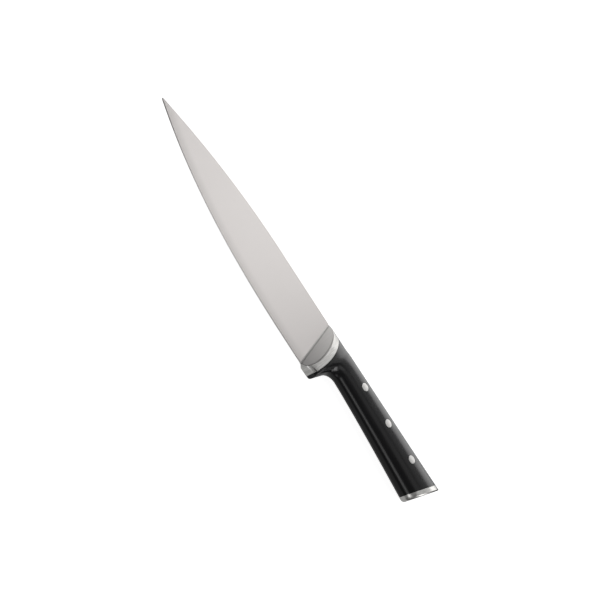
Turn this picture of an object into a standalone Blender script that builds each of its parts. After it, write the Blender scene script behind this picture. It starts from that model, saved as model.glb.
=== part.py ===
"""A 20 cm kitchen knife: ground blade with a hidden tang, cast bolster, riveted black handle, end cap.

The knife lies on its right side. X runs from the tip to the butt, Y from the edge up to the spine
and Z across the knife. While it is modelled, X is 0 at the blade's shoulder, Y is 0 on the spine line
and Z is 0 on the middle plane. The last step moves the whole knife so that its origin is the centre
of the underside of its bounding box.
"""
import math

import bmesh
import bpy
from mathutils import Matrix, Vector

# Blade, in metres: length along the spine, height at the heel, thickness at three corners of its sides
BLADE_LENGTH = 0.1966
BLADE_HEIGHT = 0.0431
SHOULDER_LEAN = 0.0088
SPINE_THICKNESS = 0.0022
HEEL_THICKNESS = 0.0006
TIP_THICKNESS = 0.0007
SPINE_RISE = 0.0006
STRAIGHT_SPINE = 0.0655
TIP_RISE = 0.0287
TIP_HEIGHT = 0.0006
EDGE_CURVE = 2.6
EDGE_BEVEL = 0.0010

# Most of a section's height that the edge bevel may take, which only matters at the tip
EDGE_BEVEL_SHARE = 0.4

# Tang, hidden in the handle; its end sits in the end cap
TANG_TOP = 0.0040
TANG_HEIGHT = 0.0120
TANG_THICKNESS = 0.0015
TANG_IN_CAP = 0.0022

# Bolster: sloping cheeks, then a polished ring whose rear edge is an arc
SECTION_DEPTH = 0.0438
GUARD_DEPTH = 0.0434
GUARD_TILT = 0.15
BOLSTER_THICKNESS = 0.0164
CHEEK_SLOPE = math.radians(38.5)
CHEEK_LAND = 0.0003
ARC_RADIUS = 0.0600
ARC_REAR = 0.0205
ARC_DEPTH = 0.0324

# Handle, with lengths measured from the shoulder and depths from the spine line
HANDLE_LENGTH = 0.1439
GUARD_LENGTH = 0.0200
GUARD_ROUND = 0.0028
NECK_LENGTH = 0.0358
FINGER_ROUND = 0.0105
NECK_DEPTH = 0.0240
NECK_THICKNESS = 0.0146
BUTT_DEPTH = 0.0337
BUTT_THICKNESS = 0.0190
SWELL = 1.25
ROUNDNESS = 2.1

# End cap, cut on the slant; the higher the power, the closer the large rounding keeps to the belly
CAP_LENGTH = 0.0044
BUTT_SLANT = 0.358
CAP_ROUND_SPINE = 0.0009
CAP_ROUND_BELLY = 0.0030
CAP_ROUND_POWER = 4

# Rivets: a headed tube from the left and a headed pin from the right
RIVET_COUNT = 3
FIRST_RIVET = 0.0507
RIVET_PITCH = 0.0305
RIVET_DEPTH = 0.0099
RIVET_DROP = 0.0009
HEAD_DIAMETER = 0.0062
HEAD_THICKNESS = 0.0018
TUBE_DIAMETER = 0.0044
TUBE_END = 0.0012
PIN_DIAMETER = 0.0022

# Clearance between pieces that touch
GAP = 0.0003

# Mesh fineness; a power below 1 draws the blade's sections together towards the tip
BLADE_STEPS = 18
BLADE_STEP_POWER = 0.8
AROUND = 48
ARC_STEPS = 8
GUARD_STEPS = 3
HANDLE_STEPS = 12
REAR_ARC_STEPS = 24
CAP_STEPS = 5
TURN_STEPS = 32
SLANT_PASSES = 8
CREASE_ANGLE = math.radians(30)
MERGE = 0.00001

# How far cutters reach past the knife, and shapes past the cuts that end them
REACH = 0.0300
OVERRUN = 0.0075


def clear_scene():
    for obj in list(bpy.data.objects):
        bpy.data.objects.remove(obj, do_unlink=True)


def new_collection(name):
    collection = bpy.data.collections.new(name)
    bpy.context.scene.collection.children.link(collection)
    return collection


def finish(name, colour, roughness, metallic):
    material = bpy.data.materials.new(name)
    material.use_nodes = True
    shader = material.node_tree.nodes["Principled BSDF"]
    shader.inputs["Base Color"].default_value = (*colour, 1.0)
    shader.inputs["Roughness"].default_value = roughness
    shader.inputs["Metallic"].default_value = metallic
    return material


def satin_steel():
    return finish("satin_steel", (0.62, 0.61, 0.59), 0.32, 1.0)


def polished_steel():
    return finish("polished_steel", (0.70, 0.70, 0.69), 0.12, 1.0)


def rivet_steel():
    return finish("rivet_steel", (0.66, 0.66, 0.65), 0.25, 1.0)


def black_resin():
    return finish("black_resin", (0.012, 0.012, 0.013), 0.28, 0.0)


def add_object(name, mesh, collection, datum):
    obj = bpy.data.objects.new(name, mesh)
    obj.parent = datum
    collection.objects.link(obj)
    return obj


def as_cutter(obj):
    obj.hide_render = True
    obj.display_type = "WIRE"
    return obj


def boolean(obj, operation, other):
    modifier = obj.modifiers.new(f"{operation.lower()} {other.name}", "BOOLEAN")
    modifier.operation = operation
    modifier.object = other


def loft(name, sections, collection, datum):
    """Skin closed loops that all have the same number of points, and close both ends."""
    shape = bmesh.new()
    loops = [[shape.verts.new(point) for point in section] for section in sections]
    count = len(loops[0])
    for near, far in zip(loops, loops[1:]):
        for i in range(count):
            j = (i + 1) % count
            shape.faces.new((near[i], near[j], far[j], far[i]))
    shape.faces.new(loops[0])
    shape.faces.new(loops[-1])
    bmesh.ops.recalc_face_normals(shape, faces=shape.faces)
    mesh = bpy.data.meshes.new(name)
    shape.to_mesh(mesh)
    shape.free()
    return add_object(name, mesh, collection, datum)


def plate(name, outline, thickness, collection, datum):
    """A flat outline filled in the middle plane, extruded to both sides and made a mesh."""
    curve = bpy.data.curves.new(name, "CURVE")
    curve.dimensions = "2D"
    curve.fill_mode = "BOTH"
    curve.extrude = thickness / 2
    spline = curve.splines.new("POLY")
    spline.points.add(len(outline) - 1)
    for point, (x, y) in zip(spline.points, outline):
        point.co = (x, y, 0.0, 1.0)
    spline.use_cyclic_u = True
    drawn = bpy.data.objects.new(f"{name} outline", curve)
    bpy.context.scene.collection.objects.link(drawn)
    evaluated = drawn.evaluated_get(bpy.context.evaluated_depsgraph_get())
    mesh = bpy.data.meshes.new_from_object(evaluated)
    shape = bmesh.new()
    shape.from_mesh(mesh)
    bmesh.ops.remove_doubles(shape, verts=shape.verts, dist=MERGE)
    bmesh.ops.recalc_face_normals(shape, faces=shape.faces)
    shape.to_mesh(mesh)
    shape.free()
    bpy.data.objects.remove(drawn)
    return add_object(name, mesh, collection, datum)


def box(name, low, high, collection, datum):
    size = [b - a for a, b in zip(low, high)]
    centre = [(a + b) / 2 for a, b in zip(low, high)]
    shape = bmesh.new()
    place = Matrix.Translation(centre) @ Matrix.Diagonal((*size, 1.0))
    bmesh.ops.create_cube(shape, size=1.0, matrix=place)
    mesh = bpy.data.meshes.new(name)
    shape.to_mesh(mesh)
    shape.free()
    return add_object(name, mesh, collection, datum)


def turned(name, profile, place, collection, datum):
    """A profile of (radius, height) points, turned round the upright line through place."""
    mesh = bpy.data.meshes.new(name)
    edges = [(i, i + 1) for i in range(len(profile) - 1)]
    mesh.from_pydata([(radius, 0.0, height) for radius, height in profile], edges, [])
    obj = add_object(name, mesh, collection, datum)
    obj.location = place
    screw = obj.modifiers.new("turn", "SCREW")
    screw.steps = TURN_STEPS
    screw.render_steps = TURN_STEPS
    screw.use_merge_vertices = True
    screw.merge_threshold = MERGE
    return obj


def spine_height(x):
    """The spine rises a little in a straight run, then falls in one arc to the tip."""
    if x >= -STRAIGHT_SPINE:
        return -SPINE_RISE * x / STRAIGHT_SPINE
    run = BLADE_LENGTH - STRAIGHT_SPINE
    drop = SPINE_RISE + BLADE_HEIGHT - TIP_RISE - TIP_HEIGHT
    radius = (run**2 + drop**2) / (2 * drop)
    past = -x - STRAIGHT_SPINE
    return SPINE_RISE - radius + math.sqrt(radius**2 - past**2)


def edge_height(x):
    """The cutting edge is nearly straight at the heel and rises ever faster to the tip."""
    share = (SHOULDER_LEAN - x) / (SHOULDER_LEAN + BLADE_LENGTH)
    return -BLADE_HEIGHT + TIP_RISE * share**EDGE_CURVE


def side_height(x, y):
    """Height of the blade's flat left side, through its thickness at the spine, the heel and the tip."""
    at_spine = SPINE_THICKNESS / 2
    heel = (SHOULDER_LEAN, -BLADE_HEIGHT, HEEL_THICKNESS / 2 - at_spine)
    tip = (-BLADE_LENGTH, TIP_RISE - BLADE_HEIGHT, TIP_THICKNESS / 2 - at_spine)
    area = heel[0] * tip[1] - heel[1] * tip[0]
    along = (heel[2] * tip[1] - heel[1] * tip[2]) / area
    across = (heel[0] * tip[2] - heel[2] * tip[0]) / area
    return at_spine + along * x + across * y


def lean_at(y):
    """Place of the leaning shoulder line at a height."""
    return -y * SHOULDER_LEAN / BLADE_HEIGHT


def blade_section(share):
    """One leaning cut through the blade; share is 0 at the shoulder and 1 at the tip."""
    spine_x = -BLADE_LENGTH * share
    edge_x = spine_x + SHOULDER_LEAN * (1 - share)
    spine = Vector((spine_x, spine_height(spine_x)))
    edge = Vector((edge_x, edge_height(edge_x)))
    height = (spine - edge).length
    bevel = edge + (spine - edge) * min(EDGE_BEVEL / height, EDGE_BEVEL_SHARE)
    at_spine = side_height(*spine)
    at_bevel = side_height(*bevel)
    return [
        (*spine, at_spine),
        (*bevel, at_bevel),
        (*edge, 0.0),
        (*bevel, -at_bevel),
        (*spine, -at_spine),
    ]


def tang_outline(clearance, root, into_cap):
    """Corners of the tang, grown by a clearance; root is how far it reaches in front of the shoulder."""
    top = -TANG_TOP + clearance
    bottom = -TANG_TOP - TANG_HEIGHT - clearance
    rear = HANDLE_LENGTH - CAP_LENGTH + into_cap
    return [
        (lean_at(top) - root, top),
        (lean_at(bottom) - root, bottom),
        (rear + BUTT_SLANT * bottom, bottom),
        (rear + BUTT_SLANT * top, top),
    ]


def make_blade(parts, cutters, datum, bores):
    """Blade and tang are one strip of steel; the blade ends at the shoulder and the tang runs on."""
    sections = [blade_section((i / BLADE_STEPS) ** BLADE_STEP_POWER) for i in range(BLADE_STEPS)]
    sections.append(blade_section(1 - TIP_HEIGHT / BLADE_LENGTH))
    blade = loft("blade", sections, parts, datum)
    blade.data.materials.append(satin_steel())
    outline = tang_outline(0, GAP, TANG_IN_CAP)
    tang = as_cutter(plate("tang", outline, TANG_THICKNESS, cutters, datum))
    boolean(blade, "UNION", tang)
    for bore in bores:
        boolean(blade, "DIFFERENCE", bore)


def grip_share(x):
    return max(0.0, (x - NECK_LENGTH) / (HANDLE_LENGTH - NECK_LENGTH))


def grip_depth(x):
    """Depth of the handle behind the neck, growing to the butt."""
    return NECK_DEPTH + (BUTT_DEPTH - NECK_DEPTH) * grip_share(x) ** SWELL


def eased(x, start, end):
    """A smooth step from 0 at start to 1 at end."""
    share = min(1.0, max(0.0, (x - start) / (end - start)))
    return share * share * (3 - 2 * share)


def grip_thickness(x):
    """Even in the bolster, drawn in to the neck, then growing to the butt."""
    if x >= NECK_LENGTH:
        return NECK_THICKNESS + (BUTT_THICKNESS - NECK_THICKNESS) * grip_share(x) ** SWELL
    drawn_in = eased(x, GUARD_LENGTH, NECK_LENGTH)
    return BOLSTER_THICKNESS + (NECK_THICKNESS - BOLSTER_THICKNESS) * drawn_in


def grip_point(x, depth, i):
    """(y, z) of one of the points round the section at x, a rounded oval hung from the spine line."""
    angle = 2 * math.pi * i / AROUND
    up = math.cos(angle)
    out = math.sin(angle)
    power = 2 / ROUNDNESS
    y = depth / 2 * (math.copysign(abs(up) ** power, up) - 1)
    z = grip_thickness(x) / 2 * math.copysign(abs(out) ** power, out)
    return y, z


def guard_lean():
    """Angle of the guard's rear face, the line that touches both its corner arc and the finger arc."""
    across = NECK_LENGTH - GUARD_LENGTH
    down = NECK_DEPTH + FINGER_ROUND - SECTION_DEPTH + GUARD_ROUND
    between = math.asin((GUARD_ROUND + FINGER_ROUND) / math.hypot(across, down))
    return between - math.atan2(down, across)


def grip_stations():
    """(x, depth) of each section: bolster, guard corner, leaning guard, finger curve, long swell."""
    stations = [(-OVERRUN, SECTION_DEPTH)]
    lean = guard_lean()
    for i in range(ARC_STEPS + 1):
        angle = lean * i / ARC_STEPS
        x = GUARD_LENGTH + GUARD_ROUND * math.sin(angle)
        stations.append((x, SECTION_DEPTH - GUARD_ROUND * (1 - math.cos(angle))))
    finger = []
    finger_steps = 2 * ARC_STEPS
    for i in range(finger_steps):
        angle = lean * (1 - i / finger_steps)
        x = NECK_LENGTH - FINGER_ROUND * math.sin(angle)
        finger.append((x, NECK_DEPTH + FINGER_ROUND * (1 - math.cos(angle))))
    corner = Vector(stations[-1])
    curve = Vector(finger[0])
    for i in range(1, GUARD_STEPS):
        stations.append(tuple(corner.lerp(curve, i / GUARD_STEPS)))
    stations += finger
    swell_length = HANDLE_LENGTH + OVERRUN - NECK_LENGTH
    for i in range(HANDLE_STEPS + 1):
        x = NECK_LENGTH + swell_length * i / HANDLE_STEPS
        stations.append((x, grip_depth(x)))
    return stations


def in_front_of_neck(part):
    """Whether a vertex, an edge or a face lies wholly in front of the neck."""
    corners = [part] if isinstance(part, bmesh.types.BMVert) else part.verts
    return all(corner.co.x < NECK_LENGTH + MERGE for corner in corners)


def grip_form(name, collection, datum):
    """The outer form that bolster and grips share, with a flat under the guard that rises to the rear."""
    sections = []
    for x, depth in grip_stations():
        sections.append([(x, *grip_point(x, depth, i)) for i in range(AROUND)])
    obj = loft(name, sections, collection, datum)
    shape = bmesh.new()
    shape.from_mesh(obj.data)
    # Only the guard is cut, because the plane of its flat, run on, would shave the belly at the butt.
    geometry = [part for part in (*shape.verts, *shape.edges, *shape.faces) if in_front_of_neck(part)]
    heel = (SHOULDER_LEAN, -GUARD_DEPTH, 0)
    down = Vector((GUARD_TILT, -1, 0)).normalized()
    bmesh.ops.bisect_plane(shape, geom=geometry, plane_co=heel, plane_no=down, clear_outer=True)
    bmesh.ops.holes_fill(shape, edges=[edge for edge in shape.edges if edge.is_boundary])
    bmesh.ops.recalc_face_normals(shape, faces=shape.faces)
    shape.to_mesh(obj.data)
    shape.free()
    return obj


def rear_arc(clearance):
    """Points along the bolster's curved rear edge, from below the guard to above the spine."""
    centre = ARC_REAR - ARC_RADIUS
    radius = ARC_RADIUS + clearance
    low = math.asin((ARC_DEPTH - GUARD_DEPTH - OVERRUN) / ARC_RADIUS)
    high = math.asin((ARC_DEPTH + OVERRUN) / ARC_RADIUS)
    points = []
    for i in range(REAR_ARC_STEPS + 1):
        angle = low + (high - low) * i / REAR_ARC_STEPS
        points.append((centre + radius * math.cos(angle), radius * math.sin(angle) - ARC_DEPTH))
    return points


def closed_at(points, x):
    """An outline that runs along the points and closes on an upright line at x."""
    return points + [(x, points[-1][1]), (x, points[0][1])]


def cheek_form(cutters, datum):
    """A wedge whose two faces rise from the blade's sides, starting on the leaning shoulder line."""
    sections = []
    for y in (OVERRUN, -GUARD_DEPTH - OVERRUN):
        front = lean_at(y) + GAP
        start = side_height(front, y) + CHEEK_LAND
        rear = front + ARC_REAR + REACH
        rise = start + (rear - front) * math.tan(CHEEK_SLOPE)
        sections.append([(front, y, start), (rear, y, rise), (rear, y, -rise), (front, y, -start)])
    return as_cutter(loft("cheek wedge", sections, cutters, datum))


def make_bolster(parts, cutters, datum, tang_room):
    """The grip's form, cut to a wedge in front and to an arc behind, with a slot for the tang."""
    bolster = grip_form("bolster", parts, datum)
    bolster.data.materials.append(polished_steel())
    outline = closed_at(rear_arc(0), HANDLE_LENGTH + REACH)
    behind = as_cutter(plate("behind bolster", outline, 2 * REACH, cutters, datum))
    boolean(bolster, "INTERSECT", cheek_form(cutters, datum))
    boolean(bolster, "DIFFERENCE", behind)
    boolean(bolster, "DIFFERENCE", tang_room)


def cap_room():
    """Outline of all that lies behind the grips: the slanting cap and its clearance."""
    front = HANDLE_LENGTH - CAP_LENGTH - GAP
    top = REACH
    bottom = -GUARD_DEPTH - REACH
    slant = [(front + BUTT_SLANT * bottom, bottom), (front + BUTT_SLANT * top, top)]
    return closed_at(slant, HANDLE_LENGTH + 2 * REACH)


def make_scales(parts, cutters, datum, tang_room, bores):
    """Two black grips that close on each other round the tang."""
    bolster_room = closed_at(rear_arc(GAP), -REACH)
    before = as_cutter(plate("bolster room", bolster_room, 2 * REACH, cutters, datum))
    after = as_cutter(plate("cap room", cap_room(), 2 * REACH, cutters, datum))
    front = -REACH
    rear = HANDLE_LENGTH + REACH
    bottom = -GUARD_DEPTH - REACH
    top = REACH
    below = box("left seam", (front, bottom, -REACH), (rear, top, GAP / 2), cutters, datum)
    above = box("right seam", (front, bottom, -GAP / 2), (rear, top, REACH), cutters, datum)
    for side, other_half in (("left", below), ("right", above)):
        scale = grip_form(f"handle_scale_{side}", parts, datum)
        scale.data.materials.append(black_resin())
        for cutter in (before, after, as_cutter(other_half), tang_room, *bores):
            boolean(scale, "DIFFERENCE", cutter)


def rivet_places():
    """The rivets stand in one line, which drops a little towards the butt."""
    places = []
    for i in range(RIVET_COUNT):
        places.append((FIRST_RIVET + i * RIVET_PITCH, -RIVET_DEPTH - i * RIVET_DROP, 0))
    return places


def head_seat(place):
    """Distance of a rivet head's underside from the middle plane."""
    return grip_thickness(place[0]) / 2 - HEAD_THICKNESS


def make_bore(number, place, cutters, datum):
    """Room for one rivet: a through hole, widened at both ends for the heads."""
    wide = HEAD_DIAMETER / 2 + GAP
    narrow = TUBE_DIAMETER / 2 + GAP
    seat = head_seat(place) - GAP
    upper = [(0, REACH), (wide, REACH), (wide, seat), (narrow, seat)]
    lower = [(radius, -height) for radius, height in reversed(upper)]
    return as_cutter(turned(f"bore {number}", upper + lower, place, cutters, datum))


def make_rivet(number, place, form, parts, datum):
    """The tube and the pin meet inside the handle; both heads are ground flush with the grip."""
    head = HEAD_DIAMETER / 2
    tube = TUBE_DIAMETER / 2
    pin = PIN_DIAMETER / 2
    seat = head_seat(place)
    hollow = seat - TUBE_END
    tube_profile = [
        (0, REACH),
        (head, REACH),
        (head, seat),
        (tube, seat),
        (tube, GAP - seat),
        (pin + GAP, GAP - seat),
        (pin + GAP, hollow),
        (0, hollow),
    ]
    pin_profile = [
        (0, hollow - GAP),
        (pin, hollow - GAP),
        (pin, -seat),
        (head, -seat),
        (head, -REACH),
        (0, -REACH),
    ]
    profiles = {f"rivet_tube_{number}": tube_profile, f"rivet_pin_{number}": pin_profile}
    for name, profile in profiles.items():
        rivet = turned(name, profile, place, parts, datum)
        rivet.data.materials.append(rivet_steel())
        boolean(rivet, "INTERSECT", form)


def slanting_point(spine_x, i):
    """The point round the grip, number i, that lies on the slanting plane through spine_x."""
    x = spine_x
    for _ in range(SLANT_PASSES):
        y, z = grip_point(x, grip_depth(x), i)
        x = spine_x + BUTT_SLANT * y
    return x, y, z


def cap_loop(turn_in):
    """A loop round the cap's rim; turn_in goes from 0 at its side to 90 degrees at its flat rear face."""
    points = []
    for i in range(AROUND):
        to_belly = (1 - math.cos(2 * math.pi * i / AROUND)) / 2
        rounding = CAP_ROUND_SPINE + (CAP_ROUND_BELLY - CAP_ROUND_SPINE) * to_belly**CAP_ROUND_POWER
        plane = HANDLE_LENGTH - rounding * (1 - math.sin(turn_in))
        x, y, z = slanting_point(plane, i)
        middle = -grip_depth(x) / 2
        kept = 1 - rounding * (1 - math.cos(turn_in)) / math.hypot(y - middle, z)
        y = middle + (y - middle) * kept
        points.append((plane + BUTT_SLANT * y, y, z * kept))
    return points


def make_end_cap(parts, datum, tang_room):
    """A polished steel cap with a blind slot that takes the end of the tang."""
    front = HANDLE_LENGTH - CAP_LENGTH
    sections = [[slanting_point(front, i) for i in range(AROUND)]]
    for i in range(CAP_STEPS + 1):
        sections.append(cap_loop(math.radians(90) * i / CAP_STEPS))
    cap = loft("end_cap", sections, parts, datum)
    cap.data.materials.append(polished_steel())
    boolean(cap, "DIFFERENCE", tang_room)


def seat_on_origin(parts, datum):
    """Move the knife so that the origin is the centre of the underside of its bounding box."""
    bpy.context.view_layer.update()
    graph = bpy.context.evaluated_depsgraph_get()
    corners = []
    for obj in parts.objects:
        evaluated = obj.evaluated_get(graph)
        corners += [evaluated.matrix_world @ Vector(corner) for corner in evaluated.bound_box]
    low = [min(corner[k] for corner in corners) for k in range(3)]
    high = [max(corner[k] for corner in corners) for k in range(3)]
    datum.location = (-(low[0] + high[0]) / 2, -(low[1] + high[1]) / 2, -low[2])
    print("knife measures", [round((b - a) * 1000, 2) for a, b in zip(low, high)], "mm")
    print("shoulder datum at", [round(value * 1000, 3) for value in datum.location], "mm")


def main():
    clear_scene()
    parts = new_collection("kitchen_knife")
    cutters = new_collection("cutters")
    datum = bpy.data.objects.new("shoulder_datum", None)
    bpy.context.scene.collection.objects.link(datum)

    room = tang_outline(GAP, OVERRUN, TANG_IN_CAP + GAP)
    tang_room = as_cutter(plate("tang room", room, TANG_THICKNESS + 2 * GAP, cutters, datum))
    form = as_cutter(grip_form("grip form", cutters, datum))
    places = rivet_places()
    bores = [make_bore(i + 1, place, cutters, datum) for i, place in enumerate(places)]

    make_blade(parts, cutters, datum, bores)
    make_bolster(parts, cutters, datum, tang_room)
    make_scales(parts, cutters, datum, tang_room, bores)
    for i, place in enumerate(places):
        make_rivet(i + 1, place, form, parts, datum)
    make_end_cap(parts, datum, tang_room)

    for obj in parts.objects:
        obj.data.shade_smooth()
        obj.data.set_sharp_from_angle(angle=CREASE_ANGLE)
    seat_on_origin(parts, datum)


main()
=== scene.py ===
# %% [markdown]
# # A kitchen knife with a steel bolster, riveted black grips and a steel end cap
# The knife is made of real pieces: one strip of steel that is blade and tang, a forged bolster, two grip
# halves, three two-part rivets and an end cap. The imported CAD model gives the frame. This lesson models
# each piece again with more detail, around the same sizes, and gives each one its finish.

# %% Load the frame
import math

import bmesh
import bpy
from mathutils import Matrix, Vector


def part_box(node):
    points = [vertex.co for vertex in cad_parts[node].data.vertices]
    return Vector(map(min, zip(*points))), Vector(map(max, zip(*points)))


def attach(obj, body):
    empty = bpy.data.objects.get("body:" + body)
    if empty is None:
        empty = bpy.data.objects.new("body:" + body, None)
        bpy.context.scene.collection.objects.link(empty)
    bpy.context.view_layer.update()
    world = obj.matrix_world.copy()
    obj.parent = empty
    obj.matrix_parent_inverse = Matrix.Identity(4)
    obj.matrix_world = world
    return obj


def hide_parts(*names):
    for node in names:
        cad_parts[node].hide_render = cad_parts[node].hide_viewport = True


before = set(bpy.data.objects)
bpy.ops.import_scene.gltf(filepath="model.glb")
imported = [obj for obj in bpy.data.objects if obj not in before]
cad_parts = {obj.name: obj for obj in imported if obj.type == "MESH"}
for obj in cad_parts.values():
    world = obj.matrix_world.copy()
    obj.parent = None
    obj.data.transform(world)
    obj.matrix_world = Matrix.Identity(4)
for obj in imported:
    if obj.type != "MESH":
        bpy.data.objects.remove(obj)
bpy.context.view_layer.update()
MM = 0.001

# %% [markdown]
# ## Where the drawing starts
# Every size below is measured from one corner: x is 0 where the blade's top meets the bolster, y is 0 on
# the line of the spine, and z is 0 halfway through the knife. Pieces are modelled round that corner,
# because mirror and scale then need no sums, and each finished piece is moved to its place in the frame.

# %% The corner that sizes are measured from
BLADE_LENGTH = 196.6 * MM
TIP_HEIGHT = 0.6 * MM
blade_low, blade_high = (Vector(corner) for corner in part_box("blade"))
bolster_high = Vector(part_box("bolster")[1])
DATUM = Vector((
    blade_low.x + BLADE_LENGTH - TIP_HEIGHT,
    bolster_high.y,
    (blade_low.z + blade_high.z) / 2,
))
print("datum, mm:", [round(value / MM, 3) for value in DATUM])

# %% [markdown]
# ## The camera
# The photograph looks down on the flat of the blade from 45 degrees, on the side of the cutting edge, and a
# little from the tip. The camera is rolled so that the knife runs from the top left to the bottom right. A
# long lens from nearly a metre away keeps the handle's end from looking small.

# %% Camera
CAMERA_RAISED = math.radians(45)
CAMERA_TO_TIP = math.radians(4)
CAMERA_ROLLED = math.radians(33.2)
CAMERA_DISTANCE = 940 * MM
LENS_MM = 80
SENSOR_MM = 36
AIM = Vector((0.483, 11.784, 9.325)) * MM      # the point that the middle of the picture shows

along = Vector((1, 0, 0))
back = Vector((0, math.cos(CAMERA_RAISED), math.sin(CAMERA_RAISED)))
out = Vector((0, -math.sin(CAMERA_RAISED), math.cos(CAMERA_RAISED)))
towards_camera = math.cos(CAMERA_TO_TIP) * out - math.sin(CAMERA_TO_TIP) * along
along = math.cos(CAMERA_TO_TIP) * along + math.sin(CAMERA_TO_TIP) * out
right = math.sin(CAMERA_ROLLED) * along + math.cos(CAMERA_ROLLED) * back
up = math.sin(CAMERA_ROLLED) * back - math.cos(CAMERA_ROLLED) * along

camera = bpy.data.objects.new("camera", bpy.data.cameras.new("camera"))
bpy.context.scene.collection.objects.link(camera)
camera.data.lens = LENS_MM
camera.data.sensor_width = SENSOR_MM
turn = Matrix((right, up, towards_camera)).transposed()
camera.matrix_world = Matrix.Translation(AIM + towards_camera * CAMERA_DISTANCE) @ turn.to_4x4()
bpy.context.scene.camera = camera
print("camera at, mm:", [round(value / MM) for value in camera.matrix_world.translation])

# %% [markdown]
# ## Colours and nodes
# Colours are read off the real thing as sRGB hex values, but Blender's sockets want linear light, so one
# function turns them. A second one adds a node, sets it up and joins it, so that each material below reads
# as a list of steps.

# %% Colour and node helpers
def colour(hex_value):
    """An sRGB hex colour as linear red, green, blue and alpha."""
    channels = [int(hex_value[place:place + 2], 16) / 255 for place in (0, 2, 4)]
    linear = [c / 12.92 if c <= 0.04045 else ((c + 0.055) / 1.055) ** 2.4 for c in channels]
    return (*linear, 1)


def add_node(material, kind, links=(), **settings):
    """Adds a node. Settings are its own properties or input values; links are (input, node, output)."""
    nodes = material.node_tree.nodes
    node = nodes.new(kind)
    for name, value in settings.items():
        if hasattr(node, name):
            setattr(node, name, value)
        else:
            node.inputs[name.replace("_", " ")].default_value = value
    for socket, source, output in links:
        material.node_tree.links.new(source.outputs[output], node.inputs[socket])
    return node


def new_material(name, **shader):
    """A material whose Principled shader has the given values, with its output already joined."""
    material = bpy.data.materials.new(name)
    material.use_nodes = True
    material.node_tree.nodes.clear()
    principled = add_node(material, "ShaderNodeBsdfPrincipled")
    for socket, value in shader.items():
        principled.inputs[socket.replace("_", " ")].default_value = value
    add_node(material, "ShaderNodeOutputMaterial", [("Surface", principled, "BSDF")])
    return material, principled


def join(material, source, output, target, socket):
    """Joins one more pair of sockets."""
    material.node_tree.links.new(source.outputs[output], target.inputs[socket])


# %% [markdown]
# ## The floor
# Product photographs like this one are made on a white sweep, and then made brighter until the sweep is
# pure white. The floor does the same: what the camera sees of it glows, and only a trace of shadow is left.
# Steel shows nothing but its surroundings, and what the knife mirrors of the sweep is another matter. There
# the sweep's glow is painted light and shade: dim in front, as painted shadow of the knife, bright behind
# the spine, as a painted pool of light, and fading to black just beyond the butt, as painted shadow of the
# cap, which gives the end cap its dark bands. So the floor's material has two looks, and a Light Path node
# picks one for the camera and one for every other ray.

# %% Floor
FLOOR_WIDTH = 8000 * MM
FLOOR_GLOW = 0.90           # what the camera sees
GLOW_IN_FRONT = 0.36        # what the knife mirrors in front of the cutting edge, kept dim as painted shadow of the knife
GLOW_BEHIND = 1.35          # what it mirrors behind the spine, a painted pool of light
DARK_IN_FRONT = 12 * MM     # y where the glow starts to rise
BRIGHT_BEHIND = 62 * MM     # y where it has risen
BUTT_SHADOW_STARTS = 174 * MM      # x where the glow starts to fade into the cap's painted shadow
BUTT_SHADOW_ENDS = 190 * MM        # x where that painted shadow is black

bpy.ops.object.select_all(action="DESELECT")
bpy.ops.mesh.primitive_plane_add(size=FLOOR_WIDTH)
floor = bpy.context.object
floor.name = "floor"
white_sweep, shader = new_material("white_sweep", Base_Color=colour("DCDCDC"), Roughness=0.9)
shader.inputs["Emission Color"].default_value = colour("FFFFFF")
shader.inputs["Emission Strength"].default_value = FLOOR_GLOW
spot = add_node(white_sweep, "ShaderNodeTexCoord")
axes = add_node(white_sweep, "ShaderNodeSeparateXYZ", [("Vector", spot, "Object")])
# painted light and shade: the mirrored glow is dim in front of the knife and bright behind it
sweep = add_node(
    white_sweep, "ShaderNodeMapRange", [("Value", axes, "Y")],
    interpolation_type="SMOOTHSTEP", From_Min=DARK_IN_FRONT, From_Max=BRIGHT_BEHIND,
    To_Min=GLOW_IN_FRONT, To_Max=GLOW_BEHIND)
# painted shadow of the cap: the mirrored glow fades to black just beyond the butt
painted_butt_shadow = add_node(
    white_sweep, "ShaderNodeMapRange", [("Value", axes, "X")],
    From_Min=BUTT_SHADOW_STARTS, From_Max=BUTT_SHADOW_ENDS, To_Min=1, To_Max=0)
strength = add_node(
    white_sweep, "ShaderNodeMath", [(0, sweep, "Result"), (1, painted_butt_shadow, "Result")], operation="MULTIPLY")
mirrored = add_node(white_sweep, "ShaderNodeEmission", [("Strength", strength, "Value")])
rays = add_node(white_sweep, "ShaderNodeLightPath")
either = add_node(
    white_sweep, "ShaderNodeMixShader",
    [("Fac", rays, "Is Camera Ray"), (1, mirrored, "Emission"), (2, shader, "BSDF")])
join(white_sweep, either, "Shader", white_sweep.node_tree.nodes["Material Output"], "Surface")
floor.data.materials.append(white_sweep)
print(white_sweep.name, "has", len(white_sweep.node_tree.nodes), "nodes")

# %% [markdown]
# ## The lights
# Round the sweep is a white room that gives little light of its own. The lights are soft white panels, and
# each one is placed where a surface that the photograph shows bright mirrors it. Back panel and side panel
# lie behind the spine, for the side of the blade, and the low strip under them draws the pale band along
# the handle's spine. The tip panel is for the cheeks, and a dim gap panel for the hollow at their foot. The
# camera softbox draws the streak along the handle. Top panel and saddle panel are dim, which keeps the
# black grips black. The two beyond the butt light the saddle behind the guard. Overhead panel and front
# panel are there for someone who looks from above or from behind, so that the blade is pale steel from
# there too.

# %% World and lights
ROOM_LIGHT = 0.11           # how much light the room gives
ROOM_SEEN = 0.95            # how bright the camera sees it

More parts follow.
